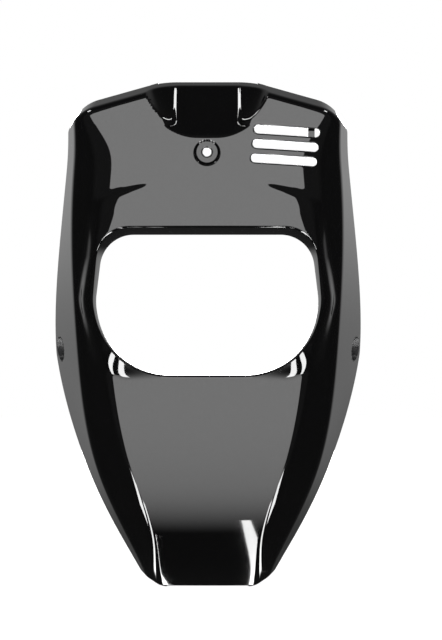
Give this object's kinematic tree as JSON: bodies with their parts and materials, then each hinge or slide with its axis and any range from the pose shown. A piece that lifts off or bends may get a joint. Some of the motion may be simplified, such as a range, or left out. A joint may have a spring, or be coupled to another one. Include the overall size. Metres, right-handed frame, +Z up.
{
  "type": "scooter front cover panel with headlamp opening",
  "caption": "Gloss black moulded front cover for a scooter: tapering shield shell with a raised headlamp bezel and opening, handlebar scoop, vent slots and recessed screw seats.",
  "frame": {"origin": "centre of the top screw hole, on the flat floor of its recess", "axes": "+X to the viewer's right of the front view, +Y to the rear (the cover faces -Y), +Z up"},
  "size_m": [0.3214, 0.133, 0.5229],
  "materials": {
    "gloss_black": "high gloss outside, satin moulded inside"
  },
  "bodies": {
    "root": {"front_cover": "gloss_black"}
  },
  "joints": []
}
